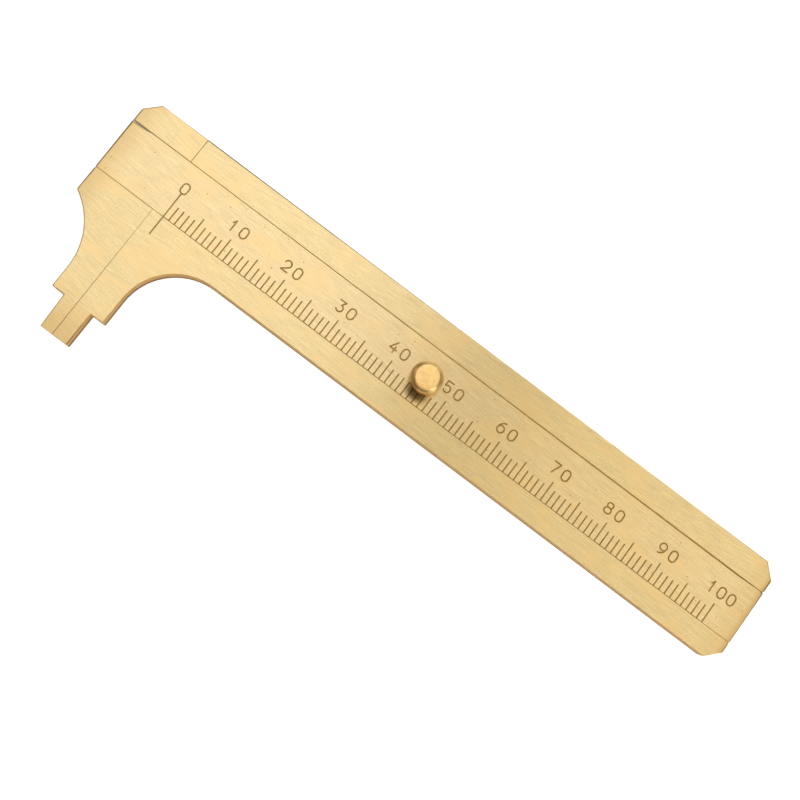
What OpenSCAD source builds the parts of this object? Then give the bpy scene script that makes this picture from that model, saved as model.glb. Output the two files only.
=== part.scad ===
// Brass sliding gauge with a scale bar that slides in a frame, shown shut, lying on its back.
// X runs along the scale from its zero line, Y across the bar from its middle, Z up from the back.
// The jaws point to -Y and the engraved front faces +Z. All sizes are in millimetres.

/* [Scale] */
// Length of the scale, which is also the travel of the bar
scale_len = 100; // [60:10:150]
// Distance from one mark to the next
mark_pitch = 1; // [1:1:2]
// Height of an ordinary mark, from the bar's lower edge
mark_h = 2.4; // [1.5:0.1:2.8]
// Height of every fifth mark
long_mark_h = 3.33; // [2.9:0.01:4]
// Width of an engraved mark
mark_w = 0.16; // [0.1:0.02:0.3]
// Depth of all engraving
engrave_depth = 0.1; // [0.05:0.01:0.2]
// Height of a number's middle line, bottom to top
digit_h = 1.72; // [1.2:0.02:2]
// Width of a digit's middle line
digit_w = 1.12; // [0.7:0.02:1.2]
// Width of the stroke that draws the numbers
digit_stroke = 0.18; // [0.1:0.01:0.22]
// Distance from the bar's lower edge to the foot of the numbers
digit_foot = 4.32; // [4.2:0.02:5]
// Distance between the digits of a number with two digits
digit_pitch = 2; // [1.6:0.05:2.2]
// Distance between the digits of a number with three digits
close_digit_pitch = 1.78; // [1.5:0.02:1.9]
// Length of the index line on the lower rail
index_len = 3.24; // [2:0.02:3.4]

/* [Frame] */
// Whole thickness, from the back face to the front face
thickness = 2.5; // [2.3:0.1:3.5]
// Thickness of the frame's back plate
back_t = 1; // [0.8:0.05:1.1]
// Width of the upper rail on the front
upper_rail_w = 4.32; // [3.9:0.01:6]
// Width of the lower rail on the front
lower_rail_w = 3.95; // [3.9:0.01:6]
// Length of the frame past the last mark
end_margin = 5.25; // [4:0.05:10]
// Side of the corners cut off the frame and the head
corner_cut = 2.2; // [1:0.1:3]

/* [Scale bar] */
// Width of the bar on the front
bar_w = 9; // [8:0.1:12]
// How much further the bar reaches under each rail at the foot of the rail
flank_run = 0.87; // [0.5:0.01:1]
// Running clearance along each flank of the bar, measured across the bar
side_clear = 0.04; // [0.03:0.01:0.08]
// Running clearance between the bar and the frame's back plate
under_clear = 0.05; // [0.02:0.01:0.08]
// Length of the wedge filed off the bar's upper left corner
eased_len = 3.1; // [1:0.1:4]
// Width of that wedge at the bar's end
eased_w = 0.3; // [0.1:0.05:0.4]
// Depth of that wedge
eased_depth = 0.2; // [0.2:0.1:1]

/* [Head] */
// Length of the head along the scale
head_len = 10.75; // [9:0.05:14]
// Distance from the zero line to the left, to the cut between the head and the frame
parting_inset = 1.9; // [1:0.1:3]
// Width of that cut when the gauge is shut
parting_gap = 0.04; // [0.02:0.01:0.1]
// How far the head's lower left corner hangs below the lower rail
corner_drop = 0.4; // [0:0.1:1]

/* [Jaws] */
// Reach of both jaws from the lower rail to the shoulder above the nibs
jaw_reach = 14; // [13.6:0.1:20]
// Length of the nibs that go inside a hole
nib_len = 5.7; // [3:0.1:10]
// Width of the moving jaw
moving_jaw_w = 4.53; // [4:0.01:6]
// Width of the fixed jaw
fixed_jaw_w = 4.8; // [4:0.01:6]
// Width of the moving jaw's nib at its root
moving_nib_w = 2.35; // [1.6:0.05:2.6]
// Width of the fixed jaw's nib
fixed_nib_w = 2.6; // [1.6:0.05:2.8]
// Width of the moving jaw's nib at its tip
moving_nib_tip_w = 2.15; // [1.4:0.05:2.6]
// Radius of the hollow beside the moving jaw
moving_hollow_r = 11.3; // [9:0.1:12]
// Radius of the hollow beside the fixed jaw
fixed_hollow_r = 9.5; // [5:0.5:12]

/* [Thumb knob] */
// Diameter of the knob
knob_d = 5; // [3.5:0.05:7]
// Height of the knob above the bar
knob_h = 2.5; // [1.6:0.1:4]
// Radius that rounds the knob's upper edge
knob_round = 0.96; // [0.2:0.02:1]
// Diameter of the narrower foot under the knob
knob_foot_d = 4.4; // [2.9:0.1:4.6]
// Height of that foot
knob_foot_h = 0.3; // [0.1:0.05:0.5]
// Distance from the zero line to the middle of the knob
knob_x = 45.65; // [20:0.05:50]
// Distance from the middle of the bar down to the middle of the knob
knob_drop = 0.25; // [0:0.05:0.6]
// Diameter of the tenon that is riveted over in the bar
tenon_d = 2; // [1.4:0.1:2.2]
// Diameter of the tenon's spread end
tenon_end_d = 2.8; // [2.4:0.1:3]
// Height of the tenon's spread end
tenon_end_h = 0.45; // [0.2:0.05:0.5]

/* [Rivets and stop] */
// Diameter of a rivet
rivet_d = 1.2; // [0.8:0.1:1.4]
// Diameter of a rivet's countersunk head
rivet_head_d = 2; // [1.6:0.1:2.4]
// Height of that head
rivet_head_h = 0.4; // [0.2:0.05:0.6]
// Metal left in front of a blind rivet
rivet_skin = 0.5; // [0.3:0.1:0.7]
// Clearance of a rivet in its hole
rivet_fit = 0.01; // [0.01:0.005:0.03]
// Rivets in each rail
rail_rivets = 6; // [4:1:9]
// Distance from each end of a rail to its first rivet
rail_rivet_inset = 5; // [4:0.5:7]
// Diameter of the stop pin
stop_d = 1.2; // [0.8:0.1:1.4]
// Height of the groove under the bar that the stop pin rides in
groove_depth = 0.6; // [0.4:0.05:0.7]
// Distance from the middle of the bar to the groove
groove_offset = 2.6; // [2.3:0.1:2.8]
// Distance from the parting cut to the stop pin
stop_inset = 2.7; // [1.5:0.1:4]
// Clearance round the stop pin in its groove
groove_clear = 0.1; // [0.05:0.01:0.2]

/* [Hidden] */

$fn = 48;
brass = [0.86, 0.73, 0.45];
rivet_brass = [0.8, 0.66, 0.38];

// Marks between two numbers, and marks from one long mark to the next
marks_per_number = 10;
marks_per_long = 5;

// Overrun of every cut past the face that it opens
cut = 0.5;

// Heights of the layers
bar_z = back_t + under_clear;
front_t = thickness - back_t;
blind_top = thickness - rivet_skin;

// Places along the scale
parting_x = -parting_inset;
head_left = parting_x - head_len;
frame_right = scale_len + end_margin;
moving_face_x = parting_x - parting_gap / 2;
fixed_face_x = parting_x + parting_gap / 2;
stop_x = parting_x + stop_inset;

// Places across the bar
bar_edge = bar_w / 2;
rail_edge = bar_edge + side_clear;
frame_top = rail_edge + upper_rail_w;
frame_bottom = -rail_edge - lower_rail_w;
shoulder_y = frame_bottom - jaw_reach;
nib_tip_y = shoulder_y - nib_len;
upper_rivet_y = (frame_top + rail_edge + flank_run) / 2;
lower_rivet_y = (frame_bottom - rail_edge - flank_run) / 2;

// Places of the rivets in the jaws and the head, as shares of the pieces that they hold
jaw_rivet_shares = [0.32, 0.82];
block_rivet_shares = [0.34, 0.78];
bar_rivet_shares = [[0.2, 0.26], [0.5, -0.26], [0.8, 0.26]];
plain_jaw_rivet_share = 0.2;
seen_rivet_shares = [0.59, 0.14];

// Shapes of the digits, as shares of their height and width
bowl_share = 0.31;
bar_share = 0.3;
flag_share = 0.28;

// Angles at which the bows of the digits 2, 3 and 5 start and end
two_bow = [-35, 165];
three_bow = [-150, 90];
five_bow = [-150, 128];

function number_pitch(s) = len(s) > 2 ? close_digit_pitch : digit_pitch;

// Flat shapes

module stroke(a, b) {
    run = b - a;
    translate(a) rotate(atan2(run[1], run[0])) translate([0, -digit_stroke / 2])
        square([norm(run), digit_stroke]);
    translate(a) circle(d = digit_stroke);
    translate(b) circle(d = digit_stroke);
}

module bow(middle, r, ends) {
    step = (ends[1] - ends[0]) / 8;
    translate(middle) {
        intersection() {
            difference() {
                circle(r = r + digit_stroke / 2);
                circle(r = r - digit_stroke / 2);
            }
            polygon([[0, 0], for (i = [0 : 8]) 2 * r * [cos(ends[0] + i * step), sin(ends[0] + i * step)]]);
        }
        for (a = ends) translate(r * [cos(a), sin(a)]) circle(d = digit_stroke);
    }
}

module rounded_bar(w, h) {
    r = min(w, h) / 2;
    if (w != h) square([w > h ? w - 2 * r : w, w > h ? h : h - 2 * r], center = true);
    for (s = [-1, 1]) translate(w > h ? [s * (w / 2 - r), 0] : [0, s * (h / 2 - r)]) circle(r = r);
}

module ring(middle, w, h) {
    translate(middle) difference() {
        rounded_bar(w + digit_stroke, h + digit_stroke);
        rounded_bar(w - digit_stroke, h - digit_stroke);
    }
}

module six() {
    r = digit_w / 2;
    rise = digit_h - r;
    tip_x = 0.82 * digit_w;
    sweep_r = (tip_x * tip_x + rise * rise) / (2 * tip_x);
    ring([r, r], digit_w, digit_w);
    bow([sweep_r, r], sweep_r, [atan2(rise, tip_x - sweep_r), 180]);
}

// One digit, standing on the X axis from X = 0
module digit(c) {
    w = digit_w;
    h = digit_h;
    r = w / 2;
    bowl_r = bowl_share * h;
    if (c == "0") ring([r, h / 2], w, h);
    if (c == "1") {
        stroke([0.55 * w, 0], [0.55 * w, h]);
        stroke([0.55 * w, h], [0.55 * w - flag_share * w, h - flag_share * h]);
    }
    if (c == "2") {
        bow([r, h - r], r, two_bow);
        stroke([r + r * cos(two_bow[0]), h - r + r * sin(two_bow[0])], [0, 0]);
        stroke([0, 0], [w, 0]);
    }
    if (c == "3") {
        stroke([0, h], [0.95 * w, h]);
        stroke([0.95 * w, h], [w - bowl_r, 2 * bowl_r]);
        bow([w - bowl_r, bowl_r], bowl_r, three_bow);
    }
    if (c == "4") {
        stroke([0.68 * w, h], [0, bar_share * h]);
        stroke([0, bar_share * h], [w, bar_share * h]);
        stroke([0.7 * w, 0.56 * h], [0.7 * w, 0]);
    }
    if (c == "5") {
        stroke([0.95 * w, h], [0.12 * w, h]);
        stroke([0.12 * w, h], [0.06 * w, 0.52 * h]);
        bow([w - bowl_r, bowl_r], bowl_r, five_bow);
        stroke([0.06 * w, 0.52 * h],
            [w - bowl_r + bowl_r * cos(five_bow[1]), bowl_r + bowl_r * sin(five_bow[1])]);
    }
    if (c == "6") six();
    if (c == "7") {
        stroke([0, h], [w, h]);
        stroke([w, h], [0.36 * w, 0]);
    }
    if (c == "8") {
        ring([r, 0.28 * h], w, 0.56 * h);
        ring([r, 0.78 * h], 0.88 * w, 0.44 * h);
    }
    if (c == "9") translate([w, h]) rotate(180) six();
}

module number(s) {
    pitch = number_pitch(s);
    for (i = [0 : len(s) - 1])
        translate([(i - (len(s) - 1) / 2) * pitch - digit_w / 2, 0]) digit(s[i]);
}

// All the marks and numbers of the scale
module scale_lines() {
    marks = floor(scale_len / mark_pitch);
    for (i = [0 : marks]) {
        tall = i % marks_per_long == 0 ? long_mark_h : mark_h;
        h = i == 0 ? digit_foot + digit_stroke / 2 : tall;
        translate([i * mark_pitch - mark_w / 2, -bar_edge - cut]) square([mark_w, h + cut]);
    }
    for (i = [0 : marks_per_number : marks])
        translate([i * mark_pitch, digit_foot - bar_edge + digit_stroke / 2]) number(str(i));
}

// Front outline of the frame or of the head, from its measuring face at X = 0 to the right
module half_outline(far, low_y, jaw_w, nib_w, nib_tip_w, hollow_r) {
    past = max(0, jaw_w + hollow_r - far);
    middle = [jaw_w + hollow_r, low_y - sqrt(pow(hollow_r, 2) - pow(past, 2))];
    hollow_x = min(middle[0], far);
    low_corner = [[far, low_y + corner_cut], [far - corner_cut, low_y], [hollow_x, low_y]];
    difference() {
        polygon([
            [0, frame_top], [far - corner_cut, frame_top], [far, frame_top - corner_cut],
            each hollow_x < far ? low_corner : [],
            [hollow_x, middle[1]], [jaw_w, middle[1]], [jaw_w, shoulder_y], [nib_w, shoulder_y],
            [nib_tip_w, nib_tip_y], [0, nib_tip_y]
        ]);
        translate(middle) circle(r = hollow_r, $fn = 96);
    }
}

module frame_outline() {
    half_gap = parting_gap / 2;
    translate([fixed_face_x, 0])
        half_outline(frame_right - fixed_face_x, frame_bottom, fixed_jaw_w - half_gap,
            fixed_nib_w - half_gap, fixed_nib_w - half_gap, fixed_hollow_r);
}

module head_outline() {
    half_gap = parting_gap / 2;
    translate([moving_face_x, 0]) mirror([1, 0])
        half_outline(moving_face_x - head_left, frame_bottom - corner_drop, moving_jaw_w - half_gap,
            moving_nib_w - half_gap, moving_nib_tip_w - half_gap, moving_hollow_r);
}

// Solid shapes

// Foot and top of a slanted flank that is half_w from the middle of the bar at the front
function flank(foot_z, half_w) = [
    [half_w + flank_run * (thickness - foot_z) / front_t, foot_z],
    [half_w, thickness]
];

// Bar along X, whose section has one side on the given points and the other side its mirror image
module long_bar(from_x, to_x, side) {
    other_side = [for (i = [len(side) - 1 : -1 : 0]) [-side[i][0], side[i][1]]];
    translate([from_x, 0, 0]) rotate([90, 0, 90]) linear_extrude(to_x - from_x)
        polygon(concat(side, other_side));
}

// Space for the bar between the rails, cut through above and below
module channel(from_x, to_x, foot_z) {
    side = flank(foot_z, rail_edge);
    low_end = side[0] - [0, cut];
    high_end = side[1] + [0, cut];
    long_bar(from_x - cut, to_x + cut, [low_end, side[0], side[1], high_end]);
}

// Everything of a layer above or below the middle of the bar
module half_plane(side) {
    far = frame_right - head_left;
    translate([head_left - cut, side > 0 ? 0 : -far, -cut]) cube([far + 2 * cut, far, thickness + 2 * cut]);
}

// Rivet with its countersunk head at the back, or with grow above zero the hole for it
module rivet(place, top, grow = 0, both_ends = false) {
    over = grow > 0 ? cut : 0;
    top_over = both_ends ? over : 0;
    shank_d = rivet_d + 2 * grow;
    head_d = rivet_head_d + 2 * grow;
    translate(place) {
        translate([0, 0, -over]) cylinder(d = shank_d, h = top + over + top_over);
        cylinder(d1 = head_d, d2 = shank_d, h = rivet_head_h);
        if (both_ends) translate([0, 0, top - rivet_head_h])
            cylinder(d1 = shank_d, d2 = head_d, h = rivet_head_h);
    }
}

// Places of the rivets

rail_rivet_step = (frame_right - parting_x - 2 * rail_rivet_inset) / (rail_rivets - 1);
rail_rivet_xs = [for (i = [0 : rail_rivets - 1]) parting_x + rail_rivet_inset + i * rail_rivet_step];
jaw_rivet_places = [for (s = jaw_rivet_shares) [parting_x + fixed_jaw_w / 2, frame_bottom - s * jaw_reach]];
block_rivet_places = [for (s = block_rivet_shares) [head_left + s * head_len, upper_rivet_y]];
bar_rivet_places = [for (s = bar_rivet_shares) [head_left + s[0] * head_len, s[1] * bar_w]];
plain_jaw_rivet_places = [
    [head_left + plain_jaw_rivet_share * head_len, lower_rivet_y],
    [parting_x - moving_jaw_w / 2, frame_bottom - jaw_rivet_shares[1] * jaw_reach]
];
seen_rivet_place = [
    head_left + seen_rivet_shares[0] * head_len,
    frame_bottom - seen_rivet_shares[1] * jaw_reach
];

module upper_rivets(grow = 0) {
    for (x = rail_rivet_xs) rivet([x, upper_rivet_y], blind_top + grow, grow);
}

module lower_rivets(grow = 0) {
    for (x = rail_rivet_xs) rivet([x, lower_rivet_y], blind_top + grow, grow);
}

module jaw_rivets(grow = 0) {
    for (p = jaw_rivet_places) rivet(p, blind_top + grow, grow);
}

module block_rivets(grow = 0) {
    for (p = block_rivet_places) rivet(p, blind_top + grow, grow);
}

module slide_bar_rivets(grow = 0) {
    for (p = bar_rivet_places) rivet(p, blind_top + grow, grow);
}

module head_jaw_rivets(grow = 0) {
    for (p = plain_jaw_rivet_places) rivet(p, blind_top + grow, grow);
    rivet(seen_rivet_place, thickness, grow, true);
}

// Stop pin, or with grow above zero the hole for it
module stop(top, grow = 0) {
    over = grow > 0 ? cut : 0;
    translate([stop_x, groove_offset, 0]) {
        translate([0, 0, -over]) cylinder(d = stop_d + 2 * grow, h = top + over);
        cylinder(d1 = rivet_head_d + 2 * grow, d2 = stop_d + 2 * grow, h = rivet_head_h);
    }
}

// Pieces of the frame

module frame_back_plate() {
    color(brass) difference() {
        linear_extrude(back_t) frame_outline();
        upper_rivets(rivet_fit);
        lower_rivets(rivet_fit);
        jaw_rivets(rivet_fit);
        stop(thickness, rivet_fit);
    }
}

module upper_rail() {
    color(brass) difference() {
        intersection() {
            translate([0, 0, back_t]) linear_extrude(front_t) frame_outline();
            half_plane(1);
        }
        channel(parting_x, frame_right, back_t);
        upper_rivets(rivet_fit);
    }
}

module fixed_jaw_rail() {
    color(brass) difference() {
        intersection() {
            translate([0, 0, back_t]) linear_extrude(front_t) frame_outline();
            half_plane(-1);
        }
        channel(parting_x, frame_right, back_t);
        lower_rivets(rivet_fit);
        jaw_rivets(rivet_fit);
        translate([-mark_w / 2, -rail_edge - index_len, thickness - engrave_depth])
            cube([mark_w, index_len + cut, engrave_depth + cut]);
    }
}

module upper_rail_rivets() {
    color(rivet_brass) upper_rivets();
}

module lower_rail_rivets() {
    color(rivet_brass) lower_rivets();
}

module fixed_jaw_rivets() {
    color(rivet_brass) jaw_rivets();
}

module stop_pin() {
    color(rivet_brass) stop(bar_z + groove_depth - groove_clear);
}

// Pieces of the slide

module head_back_plate() {
    color(brass) difference() {
        linear_extrude(bar_z) head_outline();
        block_rivets(rivet_fit);
        slide_bar_rivets(rivet_fit);
        head_jaw_rivets(rivet_fit);
    }
}

module head_upper_block() {
    color(brass) difference() {
        intersection() {
            translate([0, 0, bar_z]) linear_extrude(thickness - bar_z) head_outline();
            half_plane(1);
        }
        channel(head_left, parting_x, bar_z);
        block_rivets(rivet_fit);
    }
}

module moving_jaw() {
    color(brass) difference() {
        intersection() {
            translate([0, 0, bar_z]) linear_extrude(thickness - bar_z) head_outline();
            half_plane(-1);
        }
        channel(head_left, parting_x, bar_z);
        head_jaw_rivets(rivet_fit);
    }
}

module scale_bar() {
    groove_w = stop_d + 2 * groove_clear;
    color(brass) difference() {
        long_bar(head_left, frame_right, flank(bar_z, bar_edge));
        translate([0, 0, thickness - engrave_depth]) linear_extrude(engrave_depth + cut) scale_lines();
        slide_bar_rivets(rivet_fit);
        knob_tenon(rivet_fit);
        translate([stop_x, groove_offset, bar_z - cut]) {
            translate([0, -groove_w / 2, 0]) cube([scale_len, groove_w, groove_depth + cut]);
            cylinder(d = groove_w, h = groove_depth + cut);
            translate([scale_len, 0, 0]) cylinder(d = groove_w, h = groove_depth + cut);
        }
        translate([head_left, bar_edge, thickness - eased_depth]) linear_extrude(eased_depth + cut)
            polygon([
                [-cut, cut], [-cut, -eased_w * (eased_len + cut) / eased_len],
                [eased_len, 0], [eased_len, cut]
            ]);
    }
}

// Tenon of the knob, or with grow above zero the hole for it
module knob_tenon(grow = 0) {
    over = grow > 0 ? cut : 0;
    shank_h = thickness + knob_foot_h - bar_z;
    translate([knob_x, -knob_drop, bar_z]) {
        translate([0, 0, -over]) cylinder(d = tenon_d + 2 * grow, h = shank_h + over);
        cylinder(d1 = tenon_end_d + 2 * grow, d2 = tenon_d + 2 * grow, h = tenon_end_h);
    }
}

module thumb_knob() {
    r = knob_d / 2;
    color(brass) {
        knob_tenon();
        translate([knob_x, -knob_drop, thickness]) cylinder(d = knob_foot_d, h = knob_foot_h);
        translate([knob_x, -knob_drop, thickness + knob_foot_h]) rotate_extrude($fn = 96) {
            square([r - knob_round, knob_h - knob_foot_h]);
            square([r, knob_h - knob_foot_h - knob_round]);
            translate([r - knob_round, knob_h - knob_foot_h - knob_round]) circle(r = knob_round);
        }
    }
}

module bar_rivets() {
    color(rivet_brass) slide_bar_rivets();
}

module head_block_rivets() {
    color(rivet_brass) block_rivets();
}

module moving_jaw_rivets() {
    color(rivet_brass) head_jaw_rivets();
}

frame_back_plate();
upper_rail();
fixed_jaw_rail();
upper_rail_rivets();
lower_rail_rivets();
fixed_jaw_rivets();
stop_pin();
head_back_plate();
head_upper_block();
moving_jaw();
scale_bar();
thumb_knob();
bar_rivets();
head_block_rivets();
moving_jaw_rivets();
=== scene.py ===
# Brass sliding gauge lying on its back on a pale table, lit as for a catalogue picture
import math

import bmesh
import bpy
from mathutils import Matrix, Vector


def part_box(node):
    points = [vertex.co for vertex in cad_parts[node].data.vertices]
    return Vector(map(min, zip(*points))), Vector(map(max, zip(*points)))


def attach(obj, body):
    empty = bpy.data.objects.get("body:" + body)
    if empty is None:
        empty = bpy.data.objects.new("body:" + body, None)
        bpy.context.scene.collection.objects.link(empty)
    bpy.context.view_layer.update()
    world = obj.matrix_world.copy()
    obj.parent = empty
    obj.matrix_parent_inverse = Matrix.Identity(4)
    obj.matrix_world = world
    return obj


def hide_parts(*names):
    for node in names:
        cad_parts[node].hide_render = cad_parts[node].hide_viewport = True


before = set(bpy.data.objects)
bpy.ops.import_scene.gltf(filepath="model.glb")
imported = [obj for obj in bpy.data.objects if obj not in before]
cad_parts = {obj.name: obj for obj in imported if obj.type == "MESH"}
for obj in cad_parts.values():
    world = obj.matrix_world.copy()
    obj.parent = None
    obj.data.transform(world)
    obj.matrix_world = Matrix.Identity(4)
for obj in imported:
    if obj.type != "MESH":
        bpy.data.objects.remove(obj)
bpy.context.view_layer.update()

mm = 0.001
hair = 0.001 * mm  # two places closer than this count as level with each other
weld = hair / 10   # and two corners closer than this are made one
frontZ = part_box("scale_bar")[1].z  # the engraved face
print("frame loaded,", len(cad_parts), "nodes")


# Materials

noiseRoughness = 0.6
cloudSpread = (0.3, 0.7)  # where a cloud begins and where it is full, for the gloss


def newMaterial(name):
    material = bpy.data.materials.new(name)
    material.use_nodes = True
    material.node_tree.nodes.clear()
    return material


def addNode(owner, kind, links=None, settings=None, values=None):
    node = owner.node_tree.nodes.new(kind)
    for key, value in (settings or {}).items():
        setattr(node, key, value)
    for key, value in (values or {}).items():
        node.inputs[key].default_value = value
    for key, socket in (links or {}).items():
        owner.node_tree.links.new(socket, node.inputs[key])
    return node


def noiseIn(owner, place, grain, turn=0):
    # a grain has its size along X, Y and Z, and the angle by which its lines leave the X axis
    turned = addNode(owner, "ShaderNodeMapping", {"Vector": place}, {"vector_type": "TEXTURE"},
                     {"Scale": grain["size"], "Rotation": (0, 0, math.radians(grain["turn"] + turn))})
    noise = addNode(owner, "ShaderNodeTexNoise", {"Vector": turned.outputs[0]},
                    values={"Scale": 1.0, "Detail": grain["detail"], "Roughness": noiseRoughness})
    return noise.outputs["Fac"]


def weighed(owner, parts):
    # adds up the values, each times its share
    total = None
    for value, share in parts:
        links = {0: value} if total is None else {0: value, 2: total}
        total = addNode(owner, "ShaderNodeMath", links, {"operation": "MULTIPLY_ADD"},
                        {1: share, 2: 0}).outputs[0]
    return total


def spread(owner, value, lowHigh, outLowHigh=(0.0, 1.0)):
    # maps one range onto another with soft ends
    ramp = addNode(owner, "ShaderNodeMapRange", {"Value": value}, {"interpolation_type": "SMOOTHSTEP"},
                   {"From Min": lowHigh[0], "From Max": lowHigh[1],
                    "To Min": outLowHigh[0], "To Max": outLowHigh[1]})
    return ramp.outputs[0]


def multiplied(owner, first, second):
    return addNode(owner, "ShaderNodeMath", {0: first, 1: second}, {"operation": "MULTIPLY"}).outputs[0]


def mixColours(owner, factor, first, second):
    mix = addNode(owner, "ShaderNodeMix", {"Factor": factor}, {"data_type": "RGBA"})
    for key, colour in (("A", first), ("B", second)):
        if isinstance(colour, tuple):
            mix.inputs[key].default_value = colour
        else:
            owner.node_tree.links.new(colour, mix.inputs[key])
    return mix.outputs["Result"]


def pitsIn(owner, place, pits):
    # small dark specks, in some of the cells of an uneven net
    turned = addNode(owner, "ShaderNodeMapping", {"Vector": place}, {"vector_type": "TEXTURE"},
                     {"Scale": pits["spacing"]})
    cells = addNode(owner, "ShaderNodeTexVoronoi", {"Vector": turned.outputs[0]},
                    {"voronoi_dimensions": "2D"}, {"Scale": 1.0})
    speck = spread(owner, cells.outputs["Distance"], pits["size"], (1.0, 0.0))
    chosen = addNode(owner, "ShaderNodeSeparateColor", {0: cells.outputs["Color"]}).outputs[0]
    return multiplied(owner, speck, spread(owner, chosen, pits["chosen"]))


def fadeIn(owner, place, fade):
    # a tint that grows along one axis, between two places
    along = addNode(owner, "ShaderNodeSeparateXYZ", {0: place}).outputs[fade["axis"]]
    return spread(owner, along, fade["places"], fade["shares"])


def paintedShadowIn(owner, place, paintedShadow):
    # an oval painted shadow with a soft edge
    centred = addNode(owner, "ShaderNodeMapping", {"Vector": place}, {"vector_type": "TEXTURE"},
                      {"Location": paintedShadow["middle"], "Scale": paintedShadow["size"]})
    distance = addNode(owner, "ShaderNodeVectorMath", {0: centred.outputs[0]}, {"operation": "LENGTH"})
    return spread(owner, distance.outputs["Value"], paintedShadow["edge"], (paintedShadow["share"], 0.0))


def brass(name, look, turn=0):
    material = newMaterial(name)
    place = addNode(material, "ShaderNodeTexCoord").outputs["Object"]
    lines = noiseIn(material, place, look["lines"], turn)
    scratches = noiseIn(material, place, look["scratches"], turn)
    clouds = noiseIn(material, place, look["clouds"], turn)
    mixed = weighed(material, zip((lines, scratches, clouds), look["shares"]))
    tone = spread(material, mixed, look["tone"])
    colour = mixColours(material, tone, look["deep"], look["light"])
    if "blush" in look:
        patches = noiseIn(material, place, look["blush"]["patches"])
        blush = spread(material, patches, look["blush"]["spread"], (0.0, look["blush"]["share"]))
        colour = mixColours(material, blush, colour, look["blush"]["colour"])
    for fade in look["fades"]:
        colour = mixColours(material, fadeIn(material, place, fade), colour, fade["colour"])
    # the painted shadow under the knob, and the real pits
    for key, factorIn in (("paintedShadow", paintedShadowIn), ("pits", pitsIn)):
        if key in look:
            colour = mixColours(material, factorIn(material, place, look[key]), colour, look[key]["colour"])
    relief = weighed(material, zip((lines, scratches), look["relief"]))
    bump = addNode(material, "ShaderNodeBump", {"Height": relief},
                   values={"Strength": 1.0, "Distance": look["bumpDepth"]})
    gloss = spread(material, clouds, cloudSpread, look["roughness"])
    shader = addNode(material, "ShaderNodeBsdfPrincipled",
                     {"Base Color": colour, "Normal": bump.outputs["Normal"], "Roughness": gloss},
                     values={"Metallic": 1.0, "Anisotropic": look["anisotropy"]})
    if look["anisotropy"] > 0:
        across = addNode(material, "ShaderNodeCombineXYZ",
                         values={1: look["across"][0], 2: look["across"][1]})
        material.node_tree.links.new(across.outputs[0], shader.inputs["Tangent"])
    addNode(material, "ShaderNodeOutputMaterial", {"Surface": shader.outputs[0]})
    return material


knobLow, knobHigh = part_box("thumb_knob")
knobMiddle = Vector(((knobLow.x + knobHigh.x) / 2, (knobLow.y + knobHigh.y) / 2, 0))
# a darker brass tone, mixed in towards both ends and towards the jaws' tips
darkTone = (0.67, 0.47, 0.21, 1)
brushed = {
    "lines": {"size": (3 * mm, 0.14 * mm, 0.14 * mm), "turn": 0.5, "detail": 0.0},
    "scratches": {"size": (0.3 * mm, 0.12 * mm, 0.12 * mm), "turn": -1.5, "detail": 1.0},
    "clouds": {"size": (3 * mm, 1.5 * mm, 1.5 * mm), "turn": 0, "detail": 2.0},
    "shares": (0.4, 0.45, 0.15),  # of lines, scratches and clouds, in the colour
    "tone": (0.37, 0.63),
    "relief": (0.6, 0.4),  # of lines and scratches, in the bump
    "roughness": (0.41, 0.425),
    "anisotropy": 0.95,
    "across": (0.75, 0.66),  # the polish lines run along X, so gloss spreads along Y and Z
    "bumpDepth": 0.004 * mm,
    "blush": {
        "patches": {"size": (7 * mm, 3.5 * mm, 3.5 * mm), "turn": 0, "detail": 3.0},
        "spread": (0.45, 0.7),
        "share": 0.6,
        "colour": (0.99, 0.74, 0.40, 1),
    },
    "fades": (
        {"axis": "X", "places": (-12.65 * mm, -8 * mm), "shares": (0.45, 0.0), "colour": darkTone},
        {"axis": "X", "places": (100 * mm, 104 * mm), "shares": (0.0, 0.25), "colour": darkTone},
        {"axis": "X", "places": (103.9 * mm, 105.1 * mm), "shares": (0.0, 0.8), "colour": darkTone},
        # towards the jaws' tips the darkening is painted shade
        {"axis": "Y", "places": (-28.2 * mm, -19 * mm), "shares": (0.6, 0.0), "colour": darkTone},
    ),
}
plateLook = dict(brushed, light=(0.965, 0.80, 0.49, 1), deep=(0.81, 0.66, 0.39, 1))
barLook = dict(brushed, light=(0.98, 0.805, 0.51, 1), deep=(0.83, 0.67, 0.41, 1))
barLook["pits"] = {
    "spacing": (3.5 * mm, 3.5 * mm, 1.0),
    "size": (0.012, 0.035),  # as shares of the spacing
    "chosen": (0.35, 0.75),
    "colour": (0.45, 0.26, 0.09, 1),
}
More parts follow.
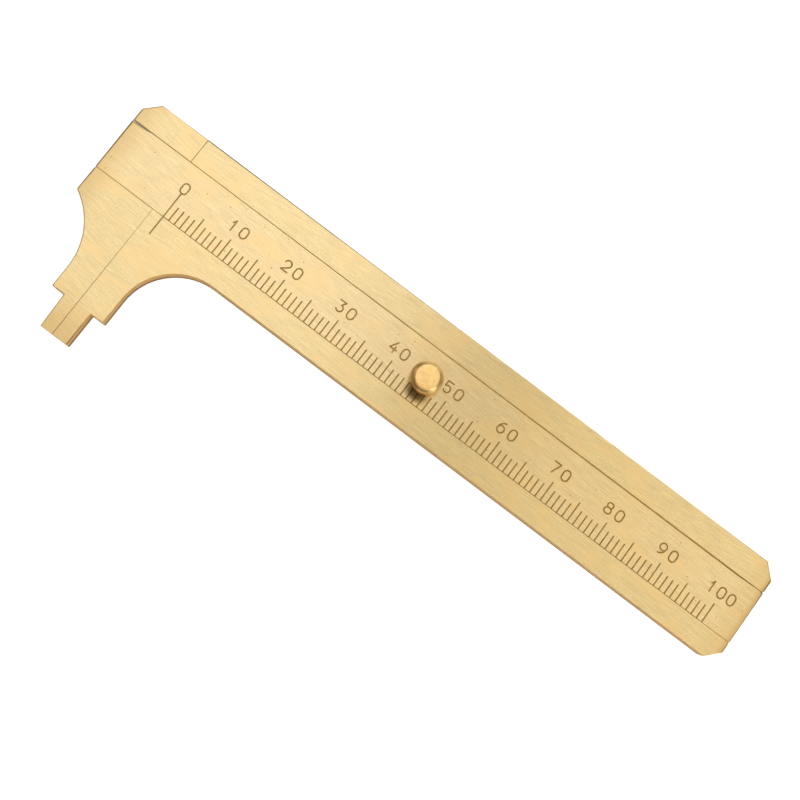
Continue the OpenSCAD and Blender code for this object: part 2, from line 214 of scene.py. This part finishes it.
# a painted shadow of the knob, on the bar below it
barLook["paintedShadow"] = {
    "middle": knobMiddle + Vector((0.1 * mm, -2.6 * mm, 0)),  # painted shadow of the knob, on the bar below its lower side
    "size": (2.45 * mm, 1.65 * mm, 1.0),
    "edge": (0.3, 1.0),  # as shares of the size
    "share": 0.96,
    "colour": (0.18, 0.115, 0.055, 1),
}
rivetLook = dict(brushed, light=(0.93, 0.70, 0.36, 1), deep=(0.78, 0.55, 0.26, 1))
sideLook = {
    "light": (0.97, 0.61, 0.22, 1),
    "deep": (0.80, 0.47, 0.15, 1),
    "lines": {"size": (1.5 * mm, 1.5 * mm, 0.12 * mm), "turn": 0, "detail": 3.0},
    "scratches": {"size": (0.5 * mm, 0.5 * mm, 0.05 * mm), "turn": 0, "detail": 2.0},
    "clouds": {"size": (3 * mm, 3 * mm, 1 * mm), "turn": 0, "detail": 3.0},
    "shares": (0.45, 0.45, 0.1),
    "tone": (0.38, 0.62),
    "relief": (0.6, 0.4),
    "roughness": (0.4, 0.55),
    "anisotropy": 0.0,
    "bumpDepth": 0.006 * mm,
    # darker towards the bottom: partly painted shade where the sides meet the table, partly patina
    "fades": (
        {"axis": "Z", "places": (0.2 * mm, 1.7 * mm), "shares": (0.95, 0.0),
         "colour": (0.17, 0.08, 0.03, 1)},
    ),
}
# a painted warm highlight for the rounded edges that face the jaws' tips
paintedHighlightLook = dict(sideLook, light=(0.99, 0.72, 0.34, 1), deep=(0.90, 0.61, 0.26, 1))
# painted shade for the grooves between the parts and for the steep edges that face away from the jaws' tips
paintedShadeLook = dict(sideLook, light=(0.62, 0.40, 0.16, 1), deep=(0.47, 0.29, 0.10, 1))
# a painted pale grey: the recess at the bar's eased corner shows the light background instead of brass
recessLook = dict(sideLook, light=(0.52, 0.49, 0.45, 1), deep=(0.37, 0.35, 0.32, 1))
engravingLook = dict(sideLook, light=(0.55, 0.35, 0.13, 1), deep=(0.36, 0.22, 0.07, 1))
# the painted shadow also darkens the engraved lines under the knob
engravingLook["paintedShadow"] = dict(barLook["paintedShadow"], colour=(0.10, 0.06, 0.03, 1))
knobLook = {
    "light": (0.98, 0.71, 0.345, 1),
    "deep": (0.83, 0.565, 0.245, 1),
    "mottle": {"size": (0.4 * mm, 0.4 * mm, 0.4 * mm), "turn": 0, "detail": 4.0},
    "rings": 0.05 * mm,
    "relief": (0.7, 0.3),  # of the mottle and the rings
    "tone": (0.35, 0.65),
    "roughness": (0.34, 0.44),
    "bumpDepth": 0.004 * mm,
    "paintedShadow": {
        "middle": knobMiddle + Vector((-1.45 * mm, -3.7 * mm, 0)),  # the same painted shadow on the knob's lower side
        "size": (2.3 * mm, 2.3 * mm, 1.0),
        "edge": (0.6, 1.0),
        "share": 0.9,
        "colour": (0.30, 0.17, 0.08, 1),
    },
}


def turnedBrass(name, look, middle):
    # faint tool rings round the middle of the knob, under a soft mottle
    material = newMaterial(name)
    place = addNode(material, "ShaderNodeTexCoord").outputs["Object"]
    mottle = noiseIn(material, place, look["mottle"])
    centred = addNode(material, "ShaderNodeMapping", {"Vector": place},
                      values={"Location": -middle, "Scale": (1, 1, 0)})
    radius = addNode(material, "ShaderNodeVectorMath", {0: centred.outputs[0]},
                     {"operation": "LENGTH"}).outputs["Value"]
    rings = addNode(material, "ShaderNodeTexNoise", {"W": radius}, {"noise_dimensions": "1D"},
                    {"Scale": 1 / look["rings"], "Detail": 2.0}).outputs["Fac"]
    relief = weighed(material, zip((mottle, rings), look["relief"]))
    colour = mixColours(material, spread(material, relief, look["tone"]), look["deep"], look["light"])
    # painted shadow on the knob's lower side
    colour = mixColours(material, paintedShadowIn(material, place, look["paintedShadow"]), colour, look["paintedShadow"]["colour"])
    bump = addNode(material, "ShaderNodeBump", {"Height": relief},
                   values={"Strength": 1.0, "Distance": look["bumpDepth"]})
    gloss = spread(material, mottle, cloudSpread, look["roughness"])
    shader = addNode(material, "ShaderNodeBsdfPrincipled",
                     {"Base Color": colour, "Normal": bump.outputs["Normal"], "Roughness": gloss},
                     values={"Metallic": 1.0})
    addNode(material, "ShaderNodeOutputMaterial", {"Surface": shader.outputs[0]})
    return material


backBrass = brass("backBrass", plateLook, 2)
railBrass = brass("railBrass", plateLook, 4)
jawBrass = brass("jawBrass", plateLook, -2)
headBrass = brass("headBrass", plateLook, -7)
barBrass = brass("barBrass", barLook, -3)
sideBrass = brass("sideBrass", sideLook)
paintedHighlightBrass = brass("paintedHighlightBrass", paintedHighlightLook)
engravedBrass = brass("engravedBrass", engravingLook)
recessBrass = brass("recessBrass", recessLook)
paintedShadeBrass = brass("paintedShadeBrass", paintedShadeLook)
rivetBrass = brass("rivetBrass", rivetLook)
knobBrass = turnedBrass("knobBrass", knobLook, knobMiddle)
sharedBrass = (sideBrass, paintedHighlightBrass, engravedBrass, recessBrass, paintedShadeBrass)
# the materials of a plate in their order, its own brass comes first
faceSlot, sideSlot, paintedHighlightSlot, engravedSlot, recessSlot, paintedShadeSlot = range(6)
print("materials ready")


# Pieces

edgeWidths = {
    "end": 0.32 * mm,          # at both ends of the gauge
    "rim": 0.16 * mm,          # the other edges that a hand touches
    "lowerRim": 0.08 * mm,     # those on the jaws' side
    "barUpper": 0.22 * mm,     # on the bar, along the upper groove
    "barLower": 0.06 * mm,     # and along the lower one, where the marks cut it
    "upperRail": 0.07 * mm,    # beside the upper groove, on the rail and the head
    "lowerRail": 0.03 * mm,    # beside the lower one, on the rail and the jaws
    "parting": 0.15 * mm,      # where the jaws meet
    "upperParting": 0.04 * mm,  # where the rail and the head meet
    "seam": 0.015 * mm,        # where one layer lies on the next
    "bore": 0.01 * mm,         # the mouths of the rivet holes
    "shortEdge": 0.25 * mm,    # only the bores are made of shorter edges than this
    "reach": 0.03 * mm,        # an edge this near a line belongs to it
}
outerKinds = ("end", "rim", "lowerRim", "barUpper", "barLower", "upperRail", "lowerRail", "parting",
              "upperParting")  # in the order in which they are rounded
engraving = {
    "depth": 0.1 * mm,
    "lip": 0.025 * mm,   # the worn edge of a line, dark like its floor
    "narrowing": 0.045 * mm,  # how far the floor is drawn in from each wall
}
recessDepth = (0.15 * mm, 0.3 * mm)  # of the eased corner of the bar, between these
shading = {
    "wall": 0.1,           # a face is this flat at most when it is a wall (0 is upright, 1 is level)
    "steep": 0.8,          # a flatter one is no longer a side
    "worn": 0.99,          # and a flatter one than this is no worn edge
    "level": 0.99999,
    "towardsJaws": -0.3,   # the Y of a face that looks to the jaws' tips
    "sameWay": 0.999,      # walls whose directions agree this well are one wall
    "realEdge": 30,        # the least angle of an edge that can be rounded
    "crease": 40,          # and of one that is drawn sharp
}
barVerts = [vert.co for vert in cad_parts["scale_bar"].data.vertices]
barFrontY = [place.y for place in barVerts if abs(place.z - frontZ) < hair]
grooveY = {
    "upperRail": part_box("upper_rail")[0].y,
    "lowerRail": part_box("moving_jaw")[1].y,
    "barUpper": max(barFrontY),
    "barLower": min(barFrontY),
}
endX = (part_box("scale_bar")[0].x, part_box("scale_bar")[1].x)
partingX = (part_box("upper_rail")[0].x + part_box("head_upper_block")[1].x) / 2
engravedZ = frontZ - engraving["depth"]


def addPiece(mesh, name, materials, body, nodeName):
    data = bpy.data.meshes.new(name)
    mesh.to_mesh(data)
    mesh.free()
    for material in materials:
        data.materials.append(material)
    data.set_sharp_from_angle(angle=math.radians(shading["crease"]))
    for polygon in data.polygons:
        polygon.use_smooth = abs(polygon.normal.z) < shading["level"]
    piece = bpy.data.objects.new(name, data)
    bpy.context.scene.collection.objects.link(piece)
    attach(piece, body)
    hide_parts(nodeName)
    return piece


def isWall(face):
    return abs(face.normal.z) < shading["wall"]


def isEngraved(face):
    # the floors of the engraved lines and the walls round them
    heights = [vert.co.z for vert in face.verts]
    floor = max(heights) < engravedZ + hair and min(heights) > engravedZ - hair
    wall = min(heights) > engravedZ - hair and max(heights) < frontZ + hair and isWall(face)
    return floor or wall


def copyOfNode(nodeName):
    mesh = bmesh.new()
    mesh.from_mesh(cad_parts[nodeName].data)
    bmesh.ops.remove_doubles(mesh, verts=mesh.verts, dist=weld)
    for face in mesh.faces:
        face.material_index = engravedSlot if isEngraved(face) else faceSlot
    return mesh


def isLevel(edge, z):
    return all(abs(vert.co.z - z) < hair for vert in edge.verts)


def isLong(edge):
    return edge.calc_length() > edgeWidths["shortEdge"]


def isFree(edge):
    # a real edge, and none of an engraved line's
    return edge.calc_face_angle(0) > math.radians(shading["realEdge"]) and all(
        face.material_index != engravedSlot for face in edge.link_faces)


def isAlong(edge, axis, place):
    return all(abs(vert.co[axis] - place) < edgeWidths["reach"] for vert in edge.verts)


def kindOf(edge):
    if any(isAlong(edge, 0, x) for x in endX):
        return "end"
    if isAlong(edge, 0, partingX):
        return "parting" if edge.verts[0].co.y < 0 else "upperParting"
    for kind, y in grooveY.items():
        if isAlong(edge, 1, y):
            return kind
    return "lowerRim" if isAlong(edge, 1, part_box("frame_back_plate")[0].y) else "rim"


def bevelEdges(mesh, edges, width, segments=2):
    made = bmesh.ops.bevel(mesh, geom=edges, offset=width, offset_type="OFFSET", affect="EDGES",
                           segments=segments, profile=0.5, material=-1, clamp_overlap=False)
    return made["faces"]


def soften(mesh):
    # rounds the edges of a plate, those that show by more than those that lie on another plate
    low = min(vert.co.z for vert in mesh.verts)
    high = max(vert.co.z for vert in mesh.verts)
    outer = [z for z in (low, high) if min(abs(z), abs(z - frontZ)) < hair]
    inner = [z for z in (low, high) if z not in outer]

    def isUpright(edge):
        heights = sorted(vert.co.z for vert in edge.verts)
        return heights[0] < low + hair and heights[1] > high - hair

    def shows(edge):
        return isUpright(edge) or any(isLevel(edge, z) for z in outer)

    bores = [edge for edge in mesh.edges if isFree(edge) and not isLong(edge) and shows(edge)]
    bevelEdges(mesh, bores, edgeWidths["bore"])
    for kind in outerKinds:
        picked = [edge for edge in mesh.edges if isFree(edge) and isLong(edge) and shows(edge)
                  and kindOf(edge) == kind]
        bevelEdges(mesh, picked, edgeWidths[kind], 3)
    seams = [edge for edge in mesh.edges if isFree(edge) and isLong(edge)
             and any(isLevel(edge, z) for z in inner)]
    bevelEdges(mesh, seams, edgeWidths["seam"])
    mesh.normal_update()
    for face in mesh.faces:
        # the eased corner's recess takes the painted pale grey
        if isRecessed(face):
            face.material_index = recessSlot
        elif face.material_index != engravedSlot:
            face.material_index = paintedLightSlotOf(face)


def paintedLightSlotOf(face):
    # the rounded edges that look to the jaws' tips get a painted warm highlight; those in the grooves and
    # the steep ones facing elsewhere get a painted shade
    flatness = abs(face.normal.z)
    isSteep = flatness < shading["steep"]
    if flatness > shading["worn"]:
        return faceSlot
    if isInGroove(face):
        return paintedShadeSlot
    if isWall(face):
        return sideSlot
    if face.normal.y < shading["towardsJaws"]:
        return sideSlot if isSteep else paintedHighlightSlot
    return paintedShadeSlot if isSteep else faceSlot


def isInGroove(face):
    middle = face.calc_center_median()
    return any(abs(middle.y - grooveY[kind]) < edgeWidths[kind] for kind in ("barUpper", "barLower"))


def isRecessed(face):
    below = [frontZ - vert.co.z for vert in face.verts]
    return min(below) > recessDepth[0] and max(below) < recessDepth[1]


def wearLips(mesh):
    # rounds the mouths of the engraved lines
    lips = [edge for edge in mesh.edges if isLevel(edge, frontZ)
            and {engravedSlot, faceSlot} == {face.material_index for face in edge.link_faces}]
    for face in bevelEdges(mesh, lips, engraving["lip"], 1):
        face.material_index = engravedSlot


def slantGrooves(mesh):
    # draws the floor of each engraved line in, so that its walls lean as a cutter's tip leaves them
    moves = {}
    for vert in mesh.verts:
        if abs(vert.co.z - engravedZ) > hair:
            continue
        walls = []
        for face in vert.link_faces:
            if face.material_index == engravedSlot and isWall(face):
                if all(face.normal.dot(other) < shading["sameWay"] for other in walls):
                    walls.append(face.normal.copy())
        if len(walls) == 1:
            moves[vert] = walls[0] * engraving["narrowing"]
        elif len(walls) == 2:
            moves[vert] = (walls[0] + walls[1]) * engraving["narrowing"] / (1 + walls[0].dot(walls[1]))
    for vert, move in moves.items():
        vert.co += Vector((move.x, move.y, 0))


plates = {
    "frame_back_plate": ("frameBackPlate", "frame", backBrass, "brushed_brass"),
    "upper_rail": ("upperRail", "frame", railBrass, "brushed_brass"),
    "fixed_jaw_rail": ("fixedJawRail", "frame", jawBrass, "brushed_brass"),
    "head_back_plate": ("headBackPlate", "slide", headBrass, "brushed_brass"),
    "head_upper_block": ("headUpperBlock", "slide", headBrass, "brushed_brass"),
    "moving_jaw": ("movingJaw", "slide", headBrass, "brushed_brass"),
    "scale_bar": ("scaleBar", "slide", barBrass, "engraved_brass"),
}
for nodeName, (name, body, material, slot) in plates.items():
    mesh = copyOfNode(nodeName)
    soften(mesh)
    wearLips(mesh)
    slantGrooves(mesh)
    addPiece(mesh, name, (material,) + sharedBrass, body, nodeName)
print("plates ready")

knob = {
    "footRadius": 2.2 * mm,
    "footHeight": 0.3 * mm,
    "faceRadius": 1.74 * mm,   # the face ends in a soft corner, and the worn edge falls away from it
    "edgeWidth": 1.3 * mm,     # half the width and the height of the oval that the edge follows
    "edgeHeight": 1.15 * mm,
    "crown": 0.025 * mm,
    "lip": 0.12 * mm,
    "tenonRadius": 1.0 * mm,
    "spreadRadius": 1.4 * mm,
    "spreadHeight": 0.45 * mm,
    "steps": 96,
    "arcSteps": 14,
    "faceShares": (0.96, 0.75, 0.5, 0.25, 0.0),
}


def turnedKnob():
    radius = (knobHigh.x - knobLow.x) / 2
    footTop = frontZ + knob["footHeight"]
    centre = radius - knob["edgeWidth"]
    corner = math.acos((knob["faceRadius"] - centre) / knob["edgeWidth"])
    shoulder = knobHigh.z - knob["crown"] - knob["edgeHeight"] * math.sin(corner)
    profile = [
        (0, knobLow.z), (knob["spreadRadius"], knobLow.z),
        (knob["tenonRadius"], knobLow.z + knob["spreadHeight"]), (knob["tenonRadius"], frontZ),
        (knob["footRadius"], frontZ), (knob["footRadius"], footTop),
        (radius - knob["lip"], footTop), (radius, footTop + knob["lip"]),
    ]
    for step in range(knob["arcSteps"] + 1):
        angle = corner * step / knob["arcSteps"]
        profile.append((centre + knob["edgeWidth"] * math.cos(angle),
                        shoulder + knob["edgeHeight"] * math.sin(angle)))
    for share in knob["faceShares"]:
        profile.append((knob["faceRadius"] * share, knobHigh.z - knob["crown"] * share ** 2))
    mesh = bmesh.new()
    verts = [mesh.verts.new(knobMiddle + Vector((r, 0, z))) for r, z in profile]
    edges = [mesh.edges.new(pair) for pair in zip(verts, verts[1:])]
    bmesh.ops.spin(mesh, geom=verts + edges, cent=knobMiddle, axis=(0, 0, 1), angle=2 * math.pi,
                   steps=knob["steps"], use_merge=True)
    bmesh.ops.remove_doubles(mesh, verts=mesh.verts, dist=weld)
    bmesh.ops.recalc_face_normals(mesh, faces=mesh.faces)
    return mesh


addPiece(turnedKnob(), "thumbKnob", (knobBrass,), "slide", "thumb_knob")

rivets = {
    "upper_rail_rivets": ("upperRailRivets", "frame"),
    "lower_rail_rivets": ("lowerRailRivets", "frame"),
    "fixed_jaw_rivets": ("fixedJawRivets", "frame"),
    "stop_pin": ("stopPin", "frame"),
    "bar_rivets": ("barRivets", "slide"),
    "head_block_rivets": ("headBlockRivets", "slide"),
    "moving_jaw_rivets": ("movingJawRivets", "slide"),
}
for nodeName, (name, body) in rivets.items():
    mesh = copyOfNode(nodeName)
    rims = [edge for edge in mesh.edges if isFree(edge) and (isLevel(edge, 0) or isLevel(edge, frontZ))]
    bevelEdges(mesh, rims, edgeWidths["bore"])
    for face in mesh.faces:  # a rivet's front end is brushed together with its plate
        face.material_index = 1 if face.calc_center_median().z > frontZ - edgeWidths["bore"] else 0
    addPiece(mesh, name, (rivetBrass, headBrass), body, nodeName)
print("knob and rivets ready")


# Studio

studio = {
    "floorSize": 4.0,
    "floorColour": (0.5, 0.5, 0.495, 1),
    "floorGlow": (0.85, 0.3),    # for the camera, and for the brass, which stays rich over a darker table
    "skyColour": (1.0, 0.88, 0.56, 1),
    "skyStrength": (0.05, 0.43),  # at its darkest and at its brightest
    "skyLean": (0, 0.3, 0.954),   # towards the brightest part
    "skyRise": (0.15, 1.0),
    "backdrop": 1.0,
}
softBoxes = {
    "leftKey": {"middle": (-0.2095, 0.54, 0.7), "size": (0.501, 0.52), "aim": (0, 0, -1), "level": 2.3,
                "colour": (1.0, 1.0, 1.0)},
    "rightKey": {"middle": (0.3225, 0.54, 0.7), "size": (0.395, 0.52), "aim": (0, 0, -1), "level": 1.58,
                 "colour": (1.0, 0.945, 0.82)},
    "leftTop": {"middle": (-0.2095, 0.0935, 0.7), "size": (0.501, 0.187), "aim": (0, 0, -1), "level": 1.3,
                "colour": (1.0, 1.0, 1.0)},
    "rightTop": {"middle": (0.3225, 0.0935, 0.7), "size": (0.395, 0.187), "aim": (0, 0, -1), "level": 0.9,
                 "colour": (1.0, 0.945, 0.82)},
    "frontBox": {"middle": (0.05, -0.4, 0.57), "size": (0.8, 0.4), "aim": (0, 0.6, -0.8), "level": 0.85,
                 "colour": (1.0, 0.80, 0.50)},
    "sideBox": {"middle": (0.34, -0.1, 0.16), "size": (0.16, 0.44), "aim": (-1, 0.3, -0.45), "level": 1.8,
                "colour": (1.0, 1.0, 0.93)},
    "leftSideBox": {"middle": (-0.27, 0, 0.16), "size": (0.16, 0.36), "aim": (1, 0, -0.45), "level": 0.4,
                    "colour": (1.0, 0.96, 0.88)},
    "farBox": {"middle": (0.05, 0.9, 0.25), "size": (1.0, 0.4), "aim": (0, -1, -0.2), "level": 0.65,
               "colour": (0.85, 0.94, 1.0)},
}


def glowFor(owner, direct, reflected=0.0):
    # one strength for what the camera sees directly, another in reflections
    path = addNode(owner, "ShaderNodeLightPath")
    return addNode(owner, "ShaderNodeMapRange", {"Value": path.outputs["Is Camera Ray"]},
                   values={"To Min": reflected, "To Max": direct}).outputs[0]


floorMesh = bmesh.new()
bmesh.ops.create_grid(floorMesh, x_segments=1, y_segments=1, size=studio["floorSize"] / 2)
floorData = bpy.data.meshes.new("paleTable")
floorMesh.to_mesh(floorData)
floorMesh.free()
floor = bpy.data.objects.new("paleTable", floorData)
bpy.context.scene.collection.objects.link(floor)
floorMaterial = newMaterial("paleTable")
floorShader = addNode(floorMaterial, "ShaderNodeBsdfPrincipled",
                      {"Emission Strength": glowFor(floorMaterial, *studio["floorGlow"])},
                      values={"Base Color": studio["floorColour"], "Roughness": 0.9,
                              "Specular IOR Level": 0.0, "Emission Color": (1, 1, 1, 1)})
addNode(floorMaterial, "ShaderNodeOutputMaterial", {"Surface": floorShader.outputs[0]})
floorData.materials.append(floorMaterial)

world = bpy.data.worlds.new("studioSky")
world.use_nodes = True
sky = world.node_tree.nodes["Background"]
sky.inputs["Color"].default_value = studio["skyColour"]
direction = addNode(world, "ShaderNodeTexCoord").outputs["Generated"]
rise = addNode(world, "ShaderNodeVectorMath", {0: direction}, {"operation": "DOT_PRODUCT"},
               {1: studio["skyLean"]}).outputs["Value"]
glow = spread(world, rise, studio["skyRise"], studio["skyStrength"])
seen = addNode(world, "ShaderNodeMath", {0: glow, 1: glowFor(world, studio["backdrop"])},
               {"operation": "MAXIMUM"})
world.node_tree.links.new(seen.outputs[0], sky.inputs["Strength"])
bpy.context.scene.world = world
bpy.context.scene.view_settings.view_transform = "Standard"

for name, box in softBoxes.items():
    light = bpy.data.lights.new(name, "AREA")
    light.shape = "RECTANGLE"
    light.size, light.size_y = box["size"]
    light.color = box["colour"]
    light.energy = box["level"] * math.pi * light.size * light.size_y  # each part of it is as bright
    lamp = bpy.data.objects.new(name, light)
    lamp.location = box["middle"]
    lamp.rotation_euler = Vector(box["aim"]).to_track_quat("-Z", "Y").to_euler()
    lamp.visible_camera = False
    bpy.context.scene.collection.objects.link(lamp)

camera = {
    "aim": (44.447 * mm, -5.11 * mm, frontZ),
    "distance": 177.98 * mm,
    "tilt": 7.194,
    "roll": 36.983,
    "lens": 54,       # as on a sensor 36 wide
    "sensor": 36,
    "nearest": 0.01,
}

lens = bpy.data.cameras.new("photoView")
lens.lens = camera["lens"]
lens.sensor_width = camera["sensor"]
lens.clip_start = camera["nearest"]
view = bpy.data.objects.new("photoView", lens)
bpy.context.scene.collection.objects.link(view)
tilt = Matrix.Rotation(math.radians(camera["tilt"]), 4, "X")
roll = Matrix.Rotation(math.radians(camera["roll"]), 4, "Z")
back = Matrix.Translation((0, 0, camera["distance"]))
view.matrix_world = Matrix.Translation(camera["aim"]) @ tilt @ roll @ back
bpy.context.scene.camera = view
print("studio ready")
